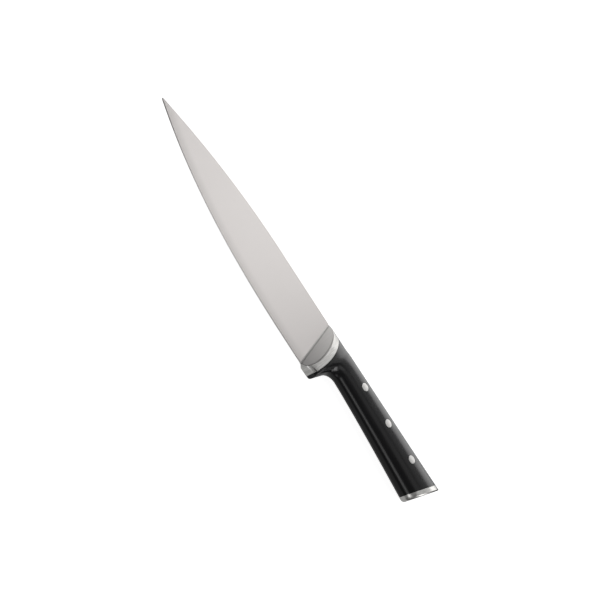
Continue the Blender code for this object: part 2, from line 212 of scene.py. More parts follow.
room = bpy.data.worlds.new("room")
room.use_nodes = True
room.node_tree.nodes["Background"].inputs["Color"].default_value = colour("FFFFFF")
rays = add_node(room, "ShaderNodeLightPath")
seen = add_node(
    room, "ShaderNodeMapRange", [("Value", rays, "Is Camera Ray")], To_Min=ROOM_LIGHT, To_Max=ROOM_SEEN)
join(room, seen, "Result", room.node_tree.nodes["Background"], "Strength")
bpy.context.scene.world = room
bpy.context.scene.view_settings.view_transform = "Standard"


def panel(name, azimuth, elevation, distance, width, height, brightness):
    """A soft light that looks at the knife. Azimuth 0 is behind the spine and 90 is behind the butt."""
    turned, raised = math.radians(azimuth), math.radians(elevation)
    place = Vector((
        math.sin(turned) * math.cos(raised),
        math.cos(turned) * math.cos(raised),
        math.sin(raised),
    )) * distance
    light = bpy.data.lights.new(name, "AREA")
    light.shape = "RECTANGLE"
    light.size = width
    light.size_y = height
    light.energy = brightness * math.pi * width * height
    lamp = bpy.data.objects.new(name, light)
    bpy.context.scene.collection.objects.link(lamp)
    lamp.location = place
    lamp.rotation_euler = place.to_track_quat("Z", "Y").to_euler()
    lamp.visible_camera = False


panel("back_panel", azimuth=-9, elevation=47, distance=1.6, width=0.68, height=0.56, brightness=1.24)
panel("side_panel", azimuth=21, elevation=47, distance=1.6, width=0.5, height=0.56, brightness=0.40)
panel("low_strip", azimuth=9, elevation=17, distance=1.8, width=1.2, height=1.10, brightness=2.15)
panel("camera_softbox", azimuth=176, elevation=44, distance=1.5, width=0.9, height=0.46, brightness=1.4)
panel("top_panel", azimuth=25, elevation=70, distance=1.4, width=0.9, height=0.45, brightness=0.42)
panel("overhead_panel", azimuth=-90, elevation=83, distance=1.7, width=0.5, height=0.45, brightness=1.30)
panel("front_panel", azimuth=132, elevation=21, distance=1.6, width=0.5, height=0.50, brightness=0.75)
panel("butt_softbox", azimuth=80, elevation=29, distance=1.5, width=0.60, height=0.60, brightness=3.0)
panel("butt_low_panel", azimuth=82, elevation=8, distance=1.5, width=0.35, height=0.35, brightness=1.6)
panel("gap_panel", azimuth=-36, elevation=42, distance=1.6, width=0.4, height=0.60, brightness=0.35)
panel("saddle_panel", azimuth=62, elevation=54, distance=1.5, width=0.4, height=0.40, brightness=0.8)
panel("tip_panel", azimuth=-64, elevation=22, distance=1.6, width=0.7, height=0.60, brightness=1.2)

# %% [markdown]
# ## Satin steel, for the blade
# The blade is stainless knife steel, ground on a fine belt from the spine down to the edge. Seen close,
# such a side is full of hair-fine lines that run across the blade. They spread each reflection along the
# blade's length, so the side looks pale, even and dull. Towards the cutting edge the steel's colour is
# painted a little darker, as painted shade for the darker reflection there, so each vertex carries its
# height above the edge in an attribute, which the blade gets when it is modelled. Steel is a metal, so its
# colour tints the reflection and the IOR stays as it is.

# %% Satin steel
BLADE_COLOUR = colour("D0CCCA")
GRIND_LINE = 0.35 * MM      # a real belt line is about 0.02 mm wide, which a photograph this size can't show
GRIND_LENGTH = 22 * MM
RELIEF = 0.01 * MM          # how deep the marks in the steel are
EDGE_SHADE_REACH = 9 * MM        # how high above the edge the painted shade reaches
EDGE_SHADE = 0.84           # how much of its colour the steel keeps at the edge

blade_steel, shader = new_material(
    "blade_steel", Base_Color=BLADE_COLOUR, Metallic=1, Roughness=0.34)
place = add_node(blade_steel, "ShaderNodeTexCoord")
stretch = add_node(
    blade_steel, "ShaderNodeMapping", [("Vector", place, "Object")],
    Scale=(1 / GRIND_LINE, 1 / GRIND_LENGTH, 1 / GRIND_LINE))
lines = add_node(blade_steel, "ShaderNodeTexNoise", [("Vector", stretch, "Vector")], Scale=1, Detail=3)
dullness = add_node(
    blade_steel, "ShaderNodeMapRange", [("Value", lines, 0)], To_Min=0.25, To_Max=0.36)
join(blade_steel, dullness, "Result", shader, "Roughness")
relief = add_node(
    blade_steel, "ShaderNodeBump", [("Height", lines, 0)], Strength=0.12, Distance=RELIEF)
join(blade_steel, relief, "Normal", shader, "Normal")
# painted shade: the steel's colour darkens towards the cutting edge
from_edge = add_node(blade_steel, "ShaderNodeAttribute", attribute_name="from_edge")
painted_edge_shade = add_node(
    blade_steel, "ShaderNodeMapRange", [("Value", from_edge, "Fac")],
    interpolation_type="SMOOTHSTEP", From_Min=0, From_Max=EDGE_SHADE_REACH, To_Min=EDGE_SHADE, To_Max=1)
tint = add_node(
    blade_steel, "ShaderNodeVectorMath", [("Scale", painted_edge_shade, "Result")],
    operation="SCALE", Vector=BLADE_COLOUR[:3])
join(blade_steel, tint, "Vector", shader, "Base Color")
print(blade_steel.name, "has", len(blade_steel.node_tree.nodes), "nodes")

# %% [markdown]
# ## The other steels
# The bolster's ring is ground round and buffed, which leaves only faint lines. It mirrors the room, so it
# goes from white to grey over a few millimetres. The sloping cheeks in front of it are only satin ground
# and stay duller. The end cap is buffed on a soft wheel, and its marks are short and cloudy. The rivets are
# ground flush with the grips and look matt. All four are one recipe with other numbers, so one function
# makes them. Near the spine these faces look into the brightest part of the room, so the ring's and the
# cap's colour is painted darker towards the spine, as painted shade that keeps them from going white; on
# the cheeks the painted shade runs the other way and darkens them towards the heel.

# %% A recipe for ground steel with painted shade
MARKS_LOW = 0.35            # noise values are seldom lower than this
MARKS_HIGH = 0.65           # nor higher than this


def steel_finish_with_painted_shade(name, low, at_spine, fade, smoothest, roughest, line, length, depth, contrast):
    """Ground steel with marks of a line width and length round the knife. Its colour is painted from low to
    at_spine over a fade below the spine, as painted shade. Depth is for the marks' relief, and contrast for
    how much darker they can be."""
    material, principled = new_material(name, Metallic=1)
    where = add_node(material, "ShaderNodeTexCoord")
    drawn = add_node(
        material, "ShaderNodeMapping", [("Vector", where, "Object")],
        Scale=(1 / line, 1 / length, 1 / length))
    streaks = add_node(material, "ShaderNodeTexNoise", [("Vector", drawn, "Vector")], Scale=1, Detail=3)
    matt = add_node(
        material, "ShaderNodeMapRange", [("Value", streaks, 0)], To_Min=smoothest, To_Max=roughest)
    join(material, matt, "Result", principled, "Roughness")
    bump = add_node(material, "ShaderNodeBump", [("Height", streaks, 0)], Strength=depth, Distance=RELIEF)
    join(material, bump, "Normal", principled, "Normal")
    parts = add_node(material, "ShaderNodeSeparateXYZ", [("Vector", where, "Object")])
    upwards = add_node(
        material, "ShaderNodeMapRange", [("Value", parts, "Y")], From_Min=DATUM.y - fade, From_Max=DATUM.y)
    # painted shade: the colour goes from low at the heel side to at_spine at the spine
    painted_shade_ramp = add_node(material, "ShaderNodeValToRGB", [("Fac", upwards, "Result")])
    painted_shade_ramp.color_ramp.elements[0].color = colour(low)
    painted_shade_ramp.color_ramp.elements[1].color = colour(at_spine)
    marks = add_node(
        material, "ShaderNodeMapRange", [("Value", streaks, 0)],
        From_Min=MARKS_LOW, From_Max=MARKS_HIGH, To_Min=1 - contrast, To_Max=1)
    shade = add_node(
        material, "ShaderNodeVectorMath", [("Vector", painted_shade_ramp, "Color"), ("Scale", marks, "Result")],
        operation="SCALE")
    join(material, shade, "Vector", principled, "Base Color")
    return material


# %% Ring, cheeks, cap and rivets
BUFF_LINE = 0.5 * MM        # drawn coarser than the real marks, which are under 0.01 mm
BUFF_LENGTH = 8 * MM
CLOUD_WIDTH = 1.6 * MM
CLOUD_LENGTH = 3 * MM
FULL_HEIGHT = 43 * MM       # for a colour that changes all the way from heel to spine

# painted shade: the ring and the cap are painted darker towards the spine, the cheeks darker towards the
# heel
ring_steel = steel_finish_with_painted_shade(
    "ring_steel", low="FAF9F6", at_spine="999895", fade=34 * MM, smoothest=0.26, roughest=0.42,
    line=BUFF_LINE, length=BUFF_LENGTH, depth=0.20, contrast=0.30)
cheek_steel = steel_finish_with_painted_shade(
    "cheek_steel", low="9D9B9A", at_spine="DFDDDA", fade=FULL_HEIGHT, smoothest=0.34, roughest=0.44,
    line=GRIND_LINE, length=GRIND_LENGTH, depth=0.15, contrast=0.05)
cap_steel = steel_finish_with_painted_shade(
    "cap_steel", low="F2F1EE", at_spine="807F7C", fade=20 * MM, smoothest=0.24, roughest=0.36,
    line=CLOUD_WIDTH, length=CLOUD_LENGTH, depth=0.30, contrast=0.15)
head_steel = steel_finish_with_painted_shade(
    "head_steel", low="BDBCBA", at_spine="BDBCBA", fade=FULL_HEIGHT, smoothest=0.36, roughest=0.44,
    line=GRIND_LINE, length=BUFF_LENGTH, depth=0.10, contrast=0.05)
print("steels:", ring_steel.name, cheek_steel.name, cap_steel.name, head_steel.name)

# %% [markdown]
# ## Black resin, for the grips
# The grips are a hard black plastic, moulded and then polished together with the steel. Plastic has a clear
# skin, so it mirrors about 4 percent of the light straight on and much more at a glance: the handle goes
# pale along the spine, where it turns away. Handling dulls it unevenly, and the polishing leaves a very
# slight waviness.

# %% Black resin
WEAR_PATCH = 14 * MM
POLISH_WAVE = 2.5 * MM
WAVE_HEIGHT = 0.05 * MM

grip_resin, shader = new_material(
    "grip_resin", Base_Color=colour("0D0D0F"), Metallic=0, IOR=1.5, Roughness=0.3)
place = add_node(grip_resin, "ShaderNodeTexCoord")
wear = add_node(
    grip_resin, "ShaderNodeTexNoise", [("Vector", place, "Object")], Scale=1 / WEAR_PATCH, Detail=4)
dullness = add_node(
    grip_resin, "ShaderNodeMapRange", [("Value", wear, 0)], To_Min=0.17, To_Max=0.27)
join(grip_resin, dullness, "Result", shader, "Roughness")
waves = add_node(
    grip_resin, "ShaderNodeTexNoise", [("Vector", place, "Object")], Scale=1 / POLISH_WAVE, Detail=1)
relief = add_node(
    grip_resin, "ShaderNodeBump", [("Height", waves, 0)], Strength=0.06, Distance=WAVE_HEIGHT)
join(grip_resin, relief, "Normal", shader, "Normal")
print(grip_resin.name, "has", len(grip_resin.node_tree.nodes), "nodes")

# %% [markdown]
# ## Tools for modelling
# Operators act on whatever is selected, and loading the frame leaves its parts selected. So each step first
# deselects everything, opens one piece, and picks the vertices, edges or faces that it needs by where they
# are.

# %% Selecting and editing
ON_PLANE = 0.001 * MM       # vertices nearer than this count as lying on a plane
FACING = 0.9                # a face points along an axis if this much of its normal does


def make_active(piece):
    """Leaves edit mode, deselects everything and makes one piece the active one."""
    if bpy.context.mode != "OBJECT":
        bpy.ops.object.mode_set(mode="OBJECT")
    bpy.ops.object.select_all(action="DESELECT")
    piece.select_set(True)
    bpy.context.view_layer.objects.active = piece


def open_piece(piece):
    """Opens one piece in edit mode, with nothing selected in it."""
    make_active(piece)
    bpy.ops.object.mode_set(mode="EDIT")
    bpy.ops.mesh.select_all(action="DESELECT")


def pick(piece, kind, test):
    """In edit mode, selects the vertices, edges or faces that pass the test, and returns how many did."""
    bpy.ops.mesh.select_mode(type=kind)
    bpy.ops.mesh.select_all(action="DESELECT")
    mesh = bmesh.from_edit_mesh(piece.data)
    parts = {"VERT": mesh.verts, "EDGE": mesh.edges, "FACE": mesh.faces}[kind]
    chosen = [part for part in parts if test(part)]
    for part in chosen:
        part.select_set(True)
    mesh.select_flush_mode()
    bmesh.update_edit_mesh(piece.data)
    return len(chosen)


def extrude(*offset):
    """Extrudes what is selected, and moves it by an offset."""
    bpy.ops.mesh.extrude_region_move(TRANSFORM_OT_translate={"value": offset})


def face_outwards():
    """In edit mode, selects the whole piece and makes all its faces point outwards."""
    bpy.ops.mesh.select_all(action="SELECT")
    bpy.ops.mesh.normals_make_consistent(inside=False)


def added(name):
    """Names the primitive that was just added and puts its place and turn into its mesh."""
    piece = bpy.context.object
    piece.name = name
    piece.data.name = name
    bpy.ops.object.transform_apply(location=True, rotation=True, scale=True)
    return piece


def slice_off(piece, point, outwards):
    """Cuts a piece by a plane, drops the side that outwards points to, and closes the cut."""
    open_piece(piece)
    bpy.ops.mesh.select_all(action="SELECT")
    bpy.ops.mesh.bisect(
        plane_co=point, plane_no=Vector(outwards).normalized(), threshold=ON_PLANE,
        use_fill=True, clear_outer=True)
    bpy.ops.object.mode_set(mode="OBJECT")


def carve(piece, tool, operation="DIFFERENCE"):
    """Applies a Boolean of a tool to a piece, and leaves the tool as it is."""
    make_active(piece)
    bpy.ops.object.modifier_add(type="BOOLEAN")
    modifier = piece.modifiers[-1]
    modifier.operation = operation
    modifier.solver = "EXACT"
    modifier.object = tool
    bpy.ops.object.modifier_apply(modifier=modifier.name)


def copy_of(piece, name):
    """A copy with its own mesh."""
    make_active(piece)
    bpy.ops.object.duplicate(linked=False)
    twin = bpy.context.object
    twin.name = name
    twin.data.name = name
    return twin


def turn_over(piece):
    """Mirrors a piece through the knife's middle plane, which turns it inside out, and mends that."""
    open_piece(piece)
    bpy.ops.mesh.select_all(action="SELECT")
    bpy.ops.transform.mirror(constraint_axis=(False, False, True), center_override=(0, 0, 0))
    face_outwards()
    make_active(piece)


def drop(*tools):
    """Removes tools that are no longer needed."""
    for tool in tools:
        bpy.data.objects.remove(tool, do_unlink=True)


# %% [markdown]
# ## The handle as one turned blank
# Before it is cut into bolster, grips and cap, the handle is one long body with an oval section. Its top is
# straight. Its underside drops into the guard, bends up in a finger hollow and swells towards the butt. It
# is drawn as a circle that is pressed a little squarer and then extruded along the knife, and each new ring
# is scaled about the spine.

# %% Sizes of the handle
SECTION_DEPTH = 43.8 * MM   # depth of the front's oval, before the flat is ground under it
GUARD_DEPTH = 43.36 * MM    # how deep that flat lies, at the heel
GUARD_TILT = 0.15           # how much the flat rises for each unit backwards
GUARD_LENGTH = 20.0 * MM
GUARD_ROUND = 2.8 * MM
BOLSTER_THICKNESS = 16.4 * MM
NECK_LENGTH = 35.8 * MM
FINGER_ROUND = 10.5 * MM
NECK_DEPTH = 24.0 * MM
NECK_THICKNESS = 14.6 * MM
HANDLE_LENGTH = 143.9 * MM
BUTT_DEPTH = 33.7 * MM
BUTT_THICKNESS = 18.99 * MM
BUTT_SLANT = 0.358          # how far the butt leans forwards for each unit of depth
CAP_LENGTH = 4.4 * MM
SHOULDER_LEAN = 8.8 * MM    # how much further back the bolster's front is at the heel than at the spine
SWELL = 1.25                # over 1, the swell starts slowly and ends fast
ROUNDNESS = 2.1             # 2 is an ellipse, and more is squarer
OVERRUN = 7.5 * MM          # how far the blank reaches past both ends, to be cut off
AROUND = 128                # vertices round the section


def swell_at(x):
    """How far the swell towards the butt has come, from 0 at the neck to 1 at the end."""
    return max(0.0, (x - NECK_LENGTH) / (HANDLE_LENGTH - NECK_LENGTH)) ** SWELL


def thickness_at(x):
    """The handle's thickness from side to side."""
    if x >= NECK_LENGTH:
        return NECK_THICKNESS + (BUTT_THICKNESS - NECK_THICKNESS) * swell_at(x)
    share = min(1.0, max(0.0, (x - GUARD_LENGTH) / (NECK_LENGTH - GUARD_LENGTH)))
    eased = share * share * (3 - 2 * share)
    return BOLSTER_THICKNESS + (NECK_THICKNESS - BOLSTER_THICKNESS) * eased


def depth_at(x):
    """The handle's depth below the spine, behind the finger hollow."""
    return NECK_DEPTH + (BUTT_DEPTH - NECK_DEPTH) * swell_at(x)


for x in (NECK_LENGTH, HANDLE_LENGTH):
    print("handle, mm:", round(depth_at(x) / MM, 2), "deep,", round(thickness_at(x) / MM, 2), "thick")


# %% Rings of the blank, from the front to the butt
CORNER_STEPS = 6
FINGER_STEPS = 14
SWELL_STEPS = 14
LAST_FREE_RING = 127 * MM   # behind this the blank runs straight on, so that the cap's rim can be rounded

# Seen from the side, the guard's lower corner and the finger hollow are two arcs, and a straight line
# touches both. Its lean follows from where the arcs' centres lie.
across = NECK_LENGTH - GUARD_LENGTH
down = NECK_DEPTH + FINGER_ROUND - SECTION_DEPTH + GUARD_ROUND
lean = math.asin((GUARD_ROUND + FINGER_ROUND) / math.hypot(across, down)) - math.atan2(down, across)
rings = [(-OVERRUN, SECTION_DEPTH)]
for step in range(CORNER_STEPS + 1):
    angle = lean * step / CORNER_STEPS
    rings.append((
        GUARD_LENGTH + GUARD_ROUND * math.sin(angle),
        SECTION_DEPTH - GUARD_ROUND * (1 - math.cos(angle)),
    ))
for step in range(FINGER_STEPS + 1):
    angle = lean * (1 - step / FINGER_STEPS)
    rings.append((
        NECK_LENGTH - FINGER_ROUND * math.sin(angle),
        NECK_DEPTH + FINGER_ROUND * (1 - math.cos(angle)),
    ))
grip_rings = []
for step in range(1, SWELL_STEPS + 1):
    x = NECK_LENGTH + (LAST_FREE_RING - NECK_LENGTH) * step / SWELL_STEPS
    grip_rings.append((x, depth_at(x)))
grip_rings.append((HANDLE_LENGTH + OVERRUN, depth_at(HANDLE_LENGTH + OVERRUN)))
print(len(rings) + len(grip_rings), "rings; the guard's back leans", round(math.degrees(lean), 2), "degrees")

# %% Extrude the blank
bpy.ops.object.select_all(action="DESELECT")
bpy.ops.mesh.primitive_circle_add(
    vertices=AROUND, radius=0.5, fill_type="NGON", rotation=(0, math.radians(90), 0))
handle_blank = added("handle_blank")
for vertex in handle_blank.data.vertices:
    vertex.co.x = rings[0][0]
    vertex.co.y = math.copysign(abs(2 * vertex.co.y) ** (2 / ROUNDNESS), vertex.co.y) / 2 - 0.5
    vertex.co.z = math.copysign(abs(2 * vertex.co.z) ** (2 / ROUNDNESS), vertex.co.z) / 2


def extrude_rings(start, rest):
    """Extrudes the selected end face from a first ring through all the others."""
    last_x, last_depth = start
    for x, depth in rest:
        extrude(x - last_x, 0, 0)
        bpy.ops.transform.resize(
            value=(1, depth / last_depth, thickness_at(x) / thickness_at(last_x)),
            center_override=(x, 0, 0))
        last_x, last_depth = x, depth


open_piece(handle_blank)
bpy.ops.mesh.select_all(action="SELECT")
bpy.ops.transform.resize(
    value=(1, SECTION_DEPTH, thickness_at(rings[0][0])), center_override=(rings[0][0], 0, 0))
extrude_rings(rings[0], rings[1:])
face_outwards()
print("front of the blank:", len(bmesh.from_edit_mesh(handle_blank.data).faces), "faces")

# %% Grind the flat under the guard, then draw the grip
# The plane of the flat, run on, would cut the butt, so the rest of the handle comes after it.
slice_off(handle_blank, (SHOULDER_LEAN, -GUARD_DEPTH, 0), (GUARD_TILT, -1, 0))
open_piece(handle_blank)
pick(
    handle_blank, "FACE",
    lambda face: abs(face.calc_center_median().x - NECK_LENGTH) < ON_PLANE)
extrude_rings(rings[-1], grip_rings)
make_active(handle_blank)
print("blank, mm:", [round(value / MM, 2) for value in handle_blank.dimensions])

# %% [markdown]
# ## The curved seam behind the ring
# Seen from the side, steel and grip meet on an arc that bulges backwards. One big disc, lying flat, cuts
# both: the bolster is what lies inside it, and the grips are what lies outside. The grips' disc is a hair
# larger, and that leaves the fine dark seam.

# %% Discs for the arc
ARC_RADIUS = 60.0 * MM
ARC_REAR = 20.5 * MM
ARC_DEPTH = 32.4 * MM
ARC_FACETS = 512
SEAM = 0.06 * MM


def arc_disc(name, extra):
    """A flat disc that fills the arc, larger all round by the extra size."""
    bpy.ops.object.select_all(action="DESELECT")
    bpy.ops.mesh.primitive_cylinder_add(
        vertices=ARC_FACETS, radius=ARC_RADIUS + extra, depth=2 * BUTT_THICKNESS,
        location=(ARC_REAR - ARC_RADIUS, -ARC_DEPTH, 0))
    return added(name)


# %% [markdown]
# ## The bolster
# The real one is forged with the blade and ground: two sloping cheeks rise from the blade's sides to a
# polished ring. It is cut out of the handle's blank just as a grinder works: a plane for the leaning front,
# the disc for the arc behind, and a grinding wheel for each cheek. A wheel's edge is never sharp, so where
# the cheek rises from the blade it starts in a small hollow. That hollow mirrors the dark gap between two
# lights, and the eye sees a soft dark line. The wheel is a sheet: a flat over the blade's side, an edge
# spun upwards through the slope's angle, and a long slope. Pulled up, the sheet becomes a solid. Spin turns
# the other way round its axis than a right hand does, so its result is looked at from the side: the slope
# has to rise behind the flat.

# %% The blade's side and the cheek's slope
BLADE_HEIGHT = 43.1 * MM
SPINE_THICKNESS = 2.2 * MM
HEEL_THICKNESS = 0.6 * MM
TIP_THICKNESS = 0.7 * MM
TIP_RISE = 28.7 * MM
CHEEK_SLOPE = math.radians(42.8)
CHEEK_START = 0.90 * MM     # how far behind the bolster's front the slope, run on, meets the blade's side
FOOT_STEP = 0.05 * MM       # how far the bolster's front stands above the blade's side
FOOT_CUTS = 8

# The blade's side is a plane through the spine at the shoulder, the heel and the tip.
spine_corner = Vector((0, 0, SPINE_THICKNESS / 2))
heel_corner = Vector((SHOULDER_LEAN, -BLADE_HEIGHT, HEEL_THICKNESS / 2))
tip_corner = Vector((-BLADE_LENGTH, -BLADE_HEIGHT + TIP_RISE, TIP_THICKNESS / 2))
side_normal = (tip_corner - spine_corner).cross(heel_corner - spine_corner).normalized()


def side_at(x, y):
    """Half the blade's thickness."""
    offset = side_normal.x * x + side_normal.y * y
    return spine_corner.z - offset / side_normal.z


down_the_front = Vector((
    SHOULDER_LEAN, -BLADE_HEIGHT, side_at(SHOULDER_LEAN, -BLADE_HEIGHT) - side_at(0, 0))).normalized()
backwards = side_normal.cross(down_the_front)
if backwards.x < 0:
    backwards.negate()
foot_radius = (FOOT_STEP + CHEEK_START * math.tan(CHEEK_SLOPE)) / (1 / math.cos(CHEEK_SLOPE) - 1)
print("hollow at the cheek's foot, radius in mm:", round(foot_radius / MM, 2))

# %% Make the wheel
WHEEL_FLAT = 6 * MM
WHEEL_SLOPE = 14 * MM
WHEEL_LENGTH = 60 * MM

bpy.ops.object.select_all(action="DESELECT")
bpy.ops.mesh.primitive_plane_add(size=1, location=(-WHEEL_FLAT / 2, 0, FOOT_STEP))
wheel = bpy.context.object
wheel.scale = (WHEEL_FLAT, WHEEL_LENGTH, 1)
wheel = added("wheel")
open_piece(wheel)
pick(wheel, "EDGE", lambda edge: all(vertex.co.x > -ON_PLANE for vertex in edge.verts))
bpy.ops.mesh.spin(
    steps=FOOT_CUTS, angle=CHEEK_SLOPE, center=(0, 0, FOOT_STEP + foot_radius), axis=(0, 1, 0))
extrude(WHEEL_SLOPE * math.cos(CHEEK_SLOPE), 0, WHEEL_SLOPE * math.sin(CHEEK_SLOPE))
bpy.ops.mesh.select_all(action="SELECT")
bpy.ops.mesh.remove_doubles(threshold=ON_PLANE)
extrude(0, 0, WHEEL_SLOPE)
face_outwards()
make_active(wheel)
stand = Matrix((backwards, side_normal.cross(backwards), side_normal)).transposed().to_4x4()
wheel.matrix_world = Matrix.Translation(
    Vector((SEAM, 0, side_at(0, 0))) + down_the_front * BLADE_HEIGHT / 2) @ stand
bpy.ops.object.transform_apply(location=True, rotation=True, scale=True)
print("wheel, mm:", [round(value / MM, 2) for value in wheel.dimensions])

# %% Cut the bolster
bolster = copy_of(handle_blank, "bolster_ground")
slice_off(bolster, (SEAM, 0, 0), (-BLADE_HEIGHT, -SHOULDER_LEAN, 0))
disc = arc_disc("disc_bolster", 0)
carve(bolster, disc, "INTERSECT")
carve(bolster, wheel)
turn_over(wheel)
carve(bolster, wheel)
drop(disc, wheel)
print("bolster, mm:", [round(value / MM, 2) for value in bolster.dimensions])

# %% [markdown]
# ## Softened edges
# No ground edge is perfectly sharp. A rounding of a tenth of a millimetre or two catches the light as a
# thin bright line, and that tells the eye that the edge is steel. Vertices that the cuts left close
# together are merged first, because a bevel is never wider than the shortest edge beside it. A Boolean can
# give its vertices in another order each time, and the order decides which of two close ones stays. So they
# are sorted before they are merged.

# %% Rounding helper
MERGE = 0.02 * MM
SKEW = Vector((0.83, 0.47, 0.29))      # along this hardly any two vertices lie equally far
EDGE_SEGMENTS = 2


def merge_close(piece):
    """Merges vertices that lie closer together than MERGE, in the same order each time."""
    open_piece(piece)
    mesh = bmesh.from_edit_mesh(piece.data)
    mesh.verts.sort(key=lambda vertex: vertex.co.dot(SKEW))
    mesh.edges.sort(key=lambda edge: (edge.verts[0].co + edge.verts[1].co).dot(SKEW))
    mesh.faces.sort(key=lambda face: face.calc_center_median().dot(SKEW))
    for parts in (mesh.verts, mesh.edges, mesh.faces):
        parts.index_update()
    bmesh.update_edit_mesh(piece.data)
    bpy.ops.mesh.select_all(action="SELECT")
    bpy.ops.mesh.remove_doubles(threshold=MERGE)
    face_outwards()
    make_active(piece)


def round_edges(piece, width, segments, share_of):
    """Rounds edges by a share of the width. share_of takes an edge and gives its share, from 0 to 1."""
    merge_close(piece)
    mesh = bmesh.new()
    mesh.from_mesh(piece.data)
    weight = mesh.edges.layers.float.new("bevel_weight_edge")
    for edge in mesh.edges:
        edge[weight] = share_of(edge)
    mesh.to_mesh(piece.data)
    mesh.free()
    bpy.ops.object.modifier_add(type="BEVEL")
    modifier = piece.modifiers[-1]
    modifier.width = width
    modifier.segments = segments
    modifier.limit_method = "WEIGHT"
    modifier.use_clamp_overlap = False
    bpy.ops.object.modifier_apply(modifier=modifier.name)
    merge_close(piece)


def soften(piece, width, sharper_than):
    """Rounds each edge that turns by more than the given angle, in degrees."""
    limit = math.radians(sharper_than)
    round_edges(piece, width, EDGE_SEGMENTS, lambda edge: float(edge.calc_face_angle(0) > limit))


# %% [markdown]
# ## The tang's room
# Blade and tang are one strip. The tang runs hidden through the bolster and between the grips, and its end
# sits in the cap. A bar a hair larger than the tang carves its room out of the pieces round it.

# %% The bar that carves the tang's room
TANG_TOP = 4.0 * MM
TANG_HEIGHT = 12.0 * MM
TANG_THICKNESS = 1.5 * MM
TANG_IN_CAP = 2.2 * MM
TANG_ROOM = 0.1 * MM

bpy.ops.object.select_all(action="DESELECT")
bpy.ops.mesh.primitive_cube_add(
    size=1,
    location=(HANDLE_LENGTH / 2, -TANG_TOP - TANG_HEIGHT / 2, 0),
    scale=(HANDLE_LENGTH + 2 * OVERRUN, TANG_HEIGHT + 2 * TANG_ROOM, TANG_THICKNESS + 2 * TANG_ROOM))
tang_bar = added("tang_bar")
slice_off(
    tang_bar, (HANDLE_LENGTH - CAP_LENGTH + TANG_IN_CAP + TANG_ROOM, 0, 0), (1, -BUTT_SLANT, 0))
carve(bolster, tang_bar)
print("tang bar, mm:", [round(value / MM, 2) for value in tang_bar.dimensions])

# %% [markdown]
# ## Rivets
# Each rivet has two parts: a headed tube from the left, and a headed pin from the right that is pressed
# into it. They are set and then ground down together with the grips, so the heads follow the grips' curve
# exactly. So a plain blank with too long a head is modelled once, copied, and cut flush with the handle's
# body.

# %% Sizes of the rivets
RIVET_COUNT = 3
FIRST_RIVET = 50.7 * MM
RIVET_PITCH = 30.5 * MM
RIVET_DEPTH = 9.9 * MM
RIVET_DROP = 0.9 * MM
HEAD_RADIUS = 3.1 * MM
HEAD_THICKNESS = 1.8 * MM
TUBE_RADIUS = 2.2 * MM
BORE_RADIUS = 1.15 * MM
PIN_RADIUS = 1.1 * MM
RIVET_FACETS = 64
RIVET_ROOM = 0.04 * MM


def grip_side(x, y):
    """The height of the handle's left side above the middle."""
    depth = depth_at(x)
    from_middle = abs((y + depth / 2) / (depth / 2))
    return thickness_at(x) / 2 * (1 - from_middle ** ROUNDNESS) ** (1 / ROUNDNESS)


def rivet_blank(name, head, shank, reach, bore=0):
    """A round head with its underside at height 0, and a shank that reaches down from it, bored if asked."""
    bpy.ops.object.select_all(action="DESELECT")
    bpy.ops.mesh.primitive_cylinder_add(
        vertices=RIVET_FACETS, radius=head, depth=3 * HEAD_THICKNESS, location=(0, 0, 1.5 * HEAD_THICKNESS))
    blank = added(name)
    open_piece(blank)
    pick(blank, "FACE", lambda face: face.normal.z < -FACING)
    bpy.ops.mesh.inset(thickness=head - shank)
    extrude(0, 0, -reach)
    if bore:
        bpy.ops.mesh.inset(thickness=shank - bore)
        extrude(0, 0, reach)
    bpy.ops.object.mode_set(mode="OBJECT")
    return blank


rivet_places = []
for index in range(RIVET_COUNT):
    x = FIRST_RIVET + index * RIVET_PITCH
    y = -RIVET_DEPTH - index * RIVET_DROP
    rivet_places.append(Vector((x, y, grip_side(x, y) - HEAD_THICKNESS)))
print("rivets, mm:", [[round(value / MM, 2) for value in spot] for spot in rivet_places])

# %% Set the rivets and grind them flush
TUBE_REACH = 11.0 * MM
PIN_REACH = 9.5 * MM
RIVET_EDGE = 0.1 * MM

tube_blank = rivet_blank("tube_blank", HEAD_RADIUS, TUBE_RADIUS, TUBE_REACH, BORE_RADIUS)
pin_blank = rivet_blank("pin_blank", HEAD_RADIUS, PIN_RADIUS, PIN_REACH)
rivets_left, rivets_right = [], []
for number, spot in enumerate(rivet_places, 1):
    tube = copy_of(tube_blank, f"rivet_left_{number}")
    bpy.ops.transform.translate(value=spot)
    bpy.ops.object.transform_apply(location=True)
    pin = copy_of(pin_blank, f"rivet_right_{number}")
    bpy.ops.transform.rotate(value=math.pi, orient_axis="X", center_override=(0, 0, 0))
    bpy.ops.transform.translate(value=(spot.x, spot.y, -spot.z))
    bpy.ops.object.transform_apply(location=True, rotation=True)
    for rivet, group in ((tube, rivets_left), (pin, rivets_right)):
        carve(rivet, handle_blank, "INTERSECT")
        soften(rivet, RIVET_EDGE, sharper_than=50)
        group.append(rivet)
print("rivet 1 reaches, mm:", [round(value / MM, 2) for value in rivets_left[0].dimensions])

# %% [markdown]
# ## The grips
# The left grip is half of the blank: cut along the middle, behind the arc and in front of the cap, grooved
# for the tang and bored for the rivets. The right grip is its mirror image, so it is a copy turned over. A
# mirrored mesh is inside out, and its normals are made to point outwards again.

# %% Cut the left grip
GRIP_EDGE = 0.08 * MM

